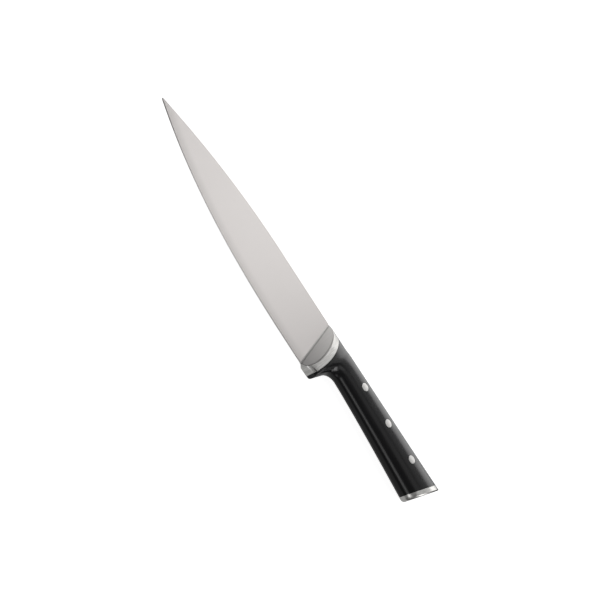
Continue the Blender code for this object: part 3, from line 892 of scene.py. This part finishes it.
grip_left = copy_of(handle_blank, "grip_left")
slice_off(grip_left, (0, 0, SEAM / 2), (0, 0, -1))
slice_off(grip_left, (HANDLE_LENGTH - CAP_LENGTH - SEAM, 0, 0), (1, -BUTT_SLANT, 0))
disc = arc_disc("disc_grips", SEAM)
carve(grip_left, disc)
carve(grip_left, tang_bar)
hole = rivet_blank("hole", HEAD_RADIUS + RIVET_ROOM, TUBE_RADIUS + RIVET_ROOM, 4 * TUBE_RADIUS)
for spot in rivet_places:
    bore = copy_of(hole, "bore")
    bpy.ops.transform.translate(value=spot)
    bpy.ops.object.transform_apply(location=True)
    carve(grip_left, bore)
    drop(bore)
drop(disc, hole, tube_blank, pin_blank)
soften(grip_left, GRIP_EDGE, sharper_than=40)
print("left grip has", len(grip_left.data.polygons), "faces")

# %% Mirror it for the right grip
grip_right = copy_of(grip_left, "grip_right")
turn_over(grip_right)
print("grip, mm:", [round(value / MM, 2) for value in grip_right.dimensions])

# %% [markdown]
# ## The end cap
# The cap is a thick steel plate, cut on the slant. Its rim is almost sharp at the spine and well rounded at
# the belly, where it lies in the palm. A bevel with a weight on each edge does that in one step: the width
# is the largest rounding, and each edge's weight says how much of it that edge gets.

# %% Cut and round the cap
CAP_ROUND_SPINE = 0.95 * MM
CAP_ROUND_BELLY = 3.0 * MM
CAP_ROUND_POWER = 4         # the rounding stays small for most of the depth and grows near the belly
CAP_SEGMENTS = 8

butt_cap = copy_of(handle_blank, "butt_cap")
slice_off(butt_cap, (HANDLE_LENGTH - CAP_LENGTH, 0, 0), (-1, BUTT_SLANT, 0))
slice_off(butt_cap, (HANDLE_LENGTH, 0, 0), (1, -BUTT_SLANT, 0))


def rim_share(edge):
    """How much of the largest rounding an edge of the cap gets."""
    ends = [vertex.co for vertex in edge.verts]
    if any(abs(end.x - HANDLE_LENGTH - BUTT_SLANT * end.y) > ON_PLANE for end in ends):
        return 0.0
    to_belly = min(1.0, max(0.0, -(ends[0].y + ends[1].y) / 2 / BUTT_DEPTH))
    rounding = CAP_ROUND_SPINE + (CAP_ROUND_BELLY - CAP_ROUND_SPINE) * to_belly ** CAP_ROUND_POWER
    return rounding / CAP_ROUND_BELLY


round_edges(butt_cap, CAP_ROUND_BELLY, CAP_SEGMENTS, rim_share)
carve(butt_cap, tang_bar)
drop(tang_bar)
print("cap, mm:", [round(value / MM, 2) for value in butt_cap.dimensions])

# %% [markdown]
# ## The blade
# A blade is a flat blank, ground to a wedge: thick at the spine, thin at the edge, thinner towards the tip.
# Its outline is drawn as a strip of faces: one upright edge is extruded forward, step by step, and scaled
# between spine and cutting edge. Then the strip gets the thickness of its left half, its side is tilted
# like a ground wedge, the last 0.7 mm is pinched into the sharpened edge, and a mirror makes the right
# half.

# %% The blade's outline
SPINE_RISE = 0.57 * MM      # how much higher the spine is where its straight part ends
STRAIGHT_SPINE = 65.5 * MM
EDGE_CURVE = 2.6            # over 1, the edge stays straight for long and then sweeps up
EDGE_BEVEL = 0.7 * MM       # height of the sharpened strip
EDGE_SHARE = 0.45           # but at the tip it takes no more than this share of the blade's height
EDGE_PINCH = 0.65           # how much of its thickness the edge keeps
NOSE = 1.2 * MM             # length of the round nose at the tip
NOSE_ROOM = 0.02 * MM       # keeps the nose inside the CAD box
NOSE_END = -BLADE_LENGTH + TIP_HEIGHT + NOSE_ROOM
NOSE_FLAT = 0.1             # how much of its height the nose keeps at its very end
NOSE_STEPS = 5
BLADE_STEPS = 72
BLANK_REAR = 12 * MM        # how far behind the bolster's front the blade's blank starts


def spine_height(x):
    """Height of the spine: straight at first, then on an arc down to the tip."""
    if x >= -STRAIGHT_SPINE:
        return -SPINE_RISE * x / STRAIGHT_SPINE
    run = BLADE_LENGTH - STRAIGHT_SPINE
    fall = SPINE_RISE + BLADE_HEIGHT - TIP_RISE - TIP_HEIGHT
    radius = (run ** 2 + fall ** 2) / (2 * fall)
    return SPINE_RISE - radius + math.sqrt(radius ** 2 - (x + STRAIGHT_SPINE) ** 2)


def edge_height(x):
    """Height of the cutting edge, which sweeps up faster and faster towards the tip."""
    share = max(0.0, (SHOULDER_LEAN - x) / (SHOULDER_LEAN + BLADE_LENGTH))
    return -BLADE_HEIGHT + TIP_RISE * share ** EDGE_CURVE


def outline_at(x):
    """Top and bottom of the blade, drawn together in a small round nose at the tip."""
    top, bottom = spine_height(x), edge_height(x)
    past = (NOSE_END + NOSE - x) / NOSE
    if past > 0:
        closing = NOSE_FLAT + (1 - NOSE_FLAT) * math.sqrt(max(0.0, 1 - past ** 2))
        middle = (top + bottom) / 2
        top, bottom = middle + (top - middle) * closing, middle + (bottom - middle) * closing
    return top, bottom


print("nose, mm:", [round(value / MM, 2) for value in outline_at(NOSE_END)])


# %% Draw the strip
steps = [BLANK_REAR + (NOSE_END + NOSE - BLANK_REAR) * step / BLADE_STEPS for step in range(BLADE_STEPS + 1)]
for step in range(1, NOSE_STEPS + 1):
    steps.append(NOSE_END + NOSE * (1 - math.sin(math.radians(90 * step / NOSE_STEPS))))
bpy.ops.object.select_all(action="DESELECT")
bpy.ops.mesh.primitive_plane_add(size=1)
blade = added("blade_and_tang")
rear_top, rear_bottom = outline_at(steps[0])
next_top, next_bottom = outline_at(steps[1])
open_piece(blade)
bpy.ops.mesh.select_all(action="SELECT")
bpy.ops.transform.resize(value=(steps[0] - steps[1], rear_top - rear_bottom, 1), center_override=(0, 0, 0))
bpy.ops.transform.translate(
    value=((steps[0] + steps[1]) / 2, (rear_top + rear_bottom) / 2, 0))
pick(blade, "EDGE", lambda edge: all(abs(v.co.x - steps[1]) < ON_PLANE for v in edge.verts))
bpy.ops.transform.resize(
    value=(1, (next_top - next_bottom) / (rear_top - rear_bottom), 1),
    center_override=(steps[1], rear_top, 0))
bpy.ops.transform.translate(value=(0, next_top - rear_top, 0))
last_x, last_top, last_bottom = steps[1], next_top, next_bottom
for x in steps[2:]:
    top, bottom = outline_at(x)
    extrude(x - last_x, top - last_top, 0)
    bpy.ops.transform.resize(
        value=(1, (top - bottom) / (last_top - last_bottom), 1), center_override=(x, top, 0))
    last_x, last_top, last_bottom = x, top, bottom
print("strip:", len(bmesh.from_edit_mesh(blade.data).faces), "faces")

# %% Add the line where the sharpening starts
uprights = pick(blade, "EDGE", lambda edge: abs(edge.verts[0].co.x - edge.verts[1].co.x) < ON_PLANE)
bpy.ops.mesh.subdivide(number_cuts=1)
bpy.ops.object.mode_set(mode="OBJECT")
for vertex in blade.data.vertices:
    top, bottom = outline_at(vertex.co.x)
    if bottom + ON_PLANE < vertex.co.y < top - ON_PLANE:
        vertex.co.y = bottom + min(EDGE_BEVEL, (top - bottom) * EDGE_SHARE)
print("upright edges cut in two:", uprights)

# %% Give the strip its left half and tilt its side
open_piece(blade)
face_outwards()
extrude(0, 0, SPINE_THICKNESS / 2)
pick(blade, "VERT", lambda vertex: vertex.co.z > ON_PLANE)
mesh = bmesh.from_edit_mesh(blade.data)
for vertex in mesh.verts:
    if vertex.select:
        vertex.co.z = side_at(vertex.co.x, vertex.co.y)
bmesh.update_edit_mesh(blade.data)
pick(blade, "FACE", lambda face: all(abs(v.co.z) < ON_PLANE for v in face.verts))
bpy.ops.mesh.delete(type="ONLY_FACE")
pick(
    blade, "VERT",
    lambda v: v.co.z > ON_PLANE and v.co.y < outline_at(v.co.x)[1] + ON_PLANE)
bpy.ops.transform.resize(value=(1, 1, EDGE_PINCH), center_override=(0, 0, 0))
make_active(blade)
bpy.ops.object.modifier_add(type="MIRROR")
mirror = blade.modifiers[-1]
mirror.use_axis = (False, False, True)
mirror.merge_threshold = ON_PLANE
bpy.ops.object.modifier_apply(modifier=mirror.name)
print("blade, mm:", [round(value / MM, 2) for value in blade.dimensions])

# %% [markdown]
# ## The tang
# The blade is cut off along its leaning shoulder. Two cuts across the shoulder's face leave one face as
# high as the tang. It is pulled back a little, set to the tang's thickness, pulled back again, and cut
# off inside the end cap.

# %% Cut the shoulder and pull out the tang
TANG_TAPER = 2 * MM         # length over which the blade's thickness becomes the tang's

slice_off(blade, (0, 0, 0), (BLADE_HEIGHT, SHOULDER_LEAN, 0))
open_piece(blade)
for height in (-TANG_TOP, -TANG_TOP - TANG_HEIGHT):
    pick(blade, "FACE", lambda face: face.normal.x > FACING)
    bpy.ops.mesh.bisect(plane_co=(0, height, 0), plane_no=(0, 1, 0))
pick(
    blade, "FACE",
    lambda f: f.normal.x > FACING and -TANG_TOP - TANG_HEIGHT < f.calc_center_median().y < -TANG_TOP)
extrude(TANG_TAPER, 0, 0)
mesh = bmesh.from_edit_mesh(blade.data)
for vertex in mesh.verts:
    if vertex.select:
        vertex.co.z = math.copysign(TANG_THICKNESS / 2, vertex.co.z)
bmesh.update_edit_mesh(blade.data)
extrude(HANDLE_LENGTH, 0, 0)
face_outwards()
slice_off(blade, (HANDLE_LENGTH - CAP_LENGTH + TANG_IN_CAP, 0, 0), (1, -BUTT_SLANT, 0))
print("blade and tang, mm:", [round(value / MM, 2) for value in blade.dimensions])

# %% Drill the tang
bpy.ops.object.select_all(action="DESELECT")
bpy.ops.mesh.primitive_cylinder_add(
    vertices=RIVET_FACETS, radius=TUBE_RADIUS + RIVET_ROOM, depth=4 * TANG_THICKNESS)
drill = added("drill")
for spot in rivet_places:
    bit = copy_of(drill, "bit")
    bpy.ops.transform.translate(value=(spot.x, spot.y, 0))
    bpy.ops.object.transform_apply(location=True)
    carve(blade, bit)
    drop(bit)
drop(drill, handle_blank)
print("tang drilled in", len(rivet_places), "places")

# %% Note each vertex's height above the cutting edge, which the blade's painted edge shade reads
heights = blade.data.attributes.new("from_edge", "FLOAT", "POINT")
for vertex in blade.data.vertices:
    heights.data[vertex.index].value = vertex.co.y - outline_at(vertex.co.x)[1]
print("highest above the edge, mm:", round(max(height.value for height in heights.data) / MM, 2))

# %% [markdown]
# ## Crisp and smooth
# A ground side is flat and meets its neighbours in a crisp line, so the line where the sharpening starts is
# marked sharp. Of the other edges, those that turn by less than a given angle are shaded smooth when the
# piece is handed over.

# %% Mark the sharpening line
ON_LINE = 0.01 * MM         # vertices nearer than this count as lying on the line
OFF_MIDDLE = 0.1 * MM       # those further from the middle plane are on the blade's sides

open_piece(blade)
marked = pick(
    blade, "EDGE",
    lambda edge: all(
        abs(v.co.y - outline_at(v.co.x)[1] - EDGE_BEVEL) < ON_LINE and abs(v.co.z) > OFF_MIDDLE
        for v in edge.verts))
bpy.ops.mesh.mark_sharp()
make_active(blade)
print("edges marked sharp:", marked)

# %% [markdown]
# ## The rim of the cheeks
# Where a cheek meets the ring the buffing has rounded the edge more than elsewhere, and most of all halfway
# between spine and heel. The rounding mirrors the same dark gap as the hollow at the foot, and that draws a
# second, thinner dark line, which fades towards both ends.

# %% Round the bolster's edges
CHEEK_RIM = 0.9 * MM        # the rounding halfway
RIM_AT_ENDS = 0.4           # how much of it is left at spine and heel
RIM_ANGLE = math.radians(25)
BOLSTER_EDGE = 0.18 * MM    # the rounding of the bolster's other edges
CORNER_ANGLE = math.radians(40)
LEAST_LEAN = 0.01           # limits for the normals of the faces that the wheel ground
MOST_LEAN = 0.9
LEAST_SIDEWAYS = 0.5
front_normal = Vector((BLADE_HEIGHT, SHOULDER_LEAN, 0)).normalized()


def ground_by_wheel(normal):
    """Whether a normal is a cheek's or its foot's: it leans forwards, but points mostly out of the side."""
    return LEAST_LEAN < -normal.x < MOST_LEAN and abs(normal.z) > LEAST_SIDEWAYS


def bolster_share(edge):
    """How much of the cheek's rim rounding an edge of the bolster gets."""
    in_front = [(vertex.co - Vector((SEAM, 0, 0))).dot(front_normal) < ON_PLANE for vertex in edge.verts]
    if all(in_front) or edge.calc_face_angle(0) < RIM_ANGLE:
        return 0.0
    if sum(ground_by_wheel(face.normal) for face in edge.link_faces) == 1:
        to_heel = -(edge.verts[0].co.y + edge.verts[1].co.y) / 2 / SECTION_DEPTH
        halfway = 4 * to_heel * (1 - to_heel)       # 0 at spine and heel, and 1 between them
        return max(RIM_AT_ENDS, halfway)
    return BOLSTER_EDGE / CHEEK_RIM if edge.calc_face_angle(0) > CORNER_ANGLE else 0.0


round_edges(bolster, CHEEK_RIM, EDGE_SEGMENTS + 2, bolster_share)
print("bolster has", len(bolster.data.polygons), "faces")

# %% [markdown]
# ## Into the frame
# Each finished piece moves from the drawing's corner to its place, gets its material, rides on the knife's
# one body and takes over from the CAD node or nodes that it stands for.

# %% Hand over the pieces
SMOOTHER_THAN = math.radians(32)


def settle(piece, material, slot, *nodes):
    """Moves a piece to its place, smooths and paints it, puts it on the knife's body and hides the CAD nodes
    that it stands for.
    """
    make_active(piece)
    bpy.ops.transform.translate(value=DATUM)
    bpy.ops.object.transform_apply(location=True, rotation=True, scale=True)
    bpy.ops.object.shade_smooth_by_angle(angle=SMOOTHER_THAN)
    bpy.ops.object.modifier_add(type="WEIGHTED_NORMAL")
    modifier = piece.modifiers[-1]
    modifier.keep_sharp = True
    bpy.ops.object.modifier_apply(modifier=modifier.name)
    piece.data.materials.clear()
    piece.data.materials.append(material)
    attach(piece, "root")
    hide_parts(*nodes)
    print(piece.name, "stands for", *nodes)


settle(blade, blade_steel, "satin_steel", "blade")
settle(bolster, ring_steel, "polished_steel", "bolster")
settle(grip_left, grip_resin, "black_resin", "handle_scale_left")
settle(grip_right, grip_resin, "black_resin", "handle_scale_right")
settle(butt_cap, cap_steel, "polished_steel", "end_cap")
for number in range(1, RIVET_COUNT + 1):
    settle(rivets_left[number - 1], head_steel, "rivet_steel", f"rivet_tube_{number}")
    settle(rivets_right[number - 1], head_steel, "rivet_steel", f"rivet_pin_{number}")

# %% The cheeks are satin, the ring is polished
bolster.data.materials.append(cheek_steel)
for face in bolster.data.polygons:
    if ground_by_wheel(face.normal):
        face.material_index = 1
print("satin faces:", sum(face.material_index for face in bolster.data.polygons))

# %% Check that every piece is one closed body
for piece in [blade, bolster, grip_left, grip_right, butt_cap, *rivets_left, *rivets_right]:
    mesh = bmesh.new()
    mesh.from_mesh(piece.data)
    loose = sum(not edge.is_manifold for edge in mesh.edges)
    volume = round(mesh.calc_volume() / MM ** 3)
    print(piece.name, len(mesh.faces), "faces;", loose, "open edges;", volume, "mm3")
    mesh.free()
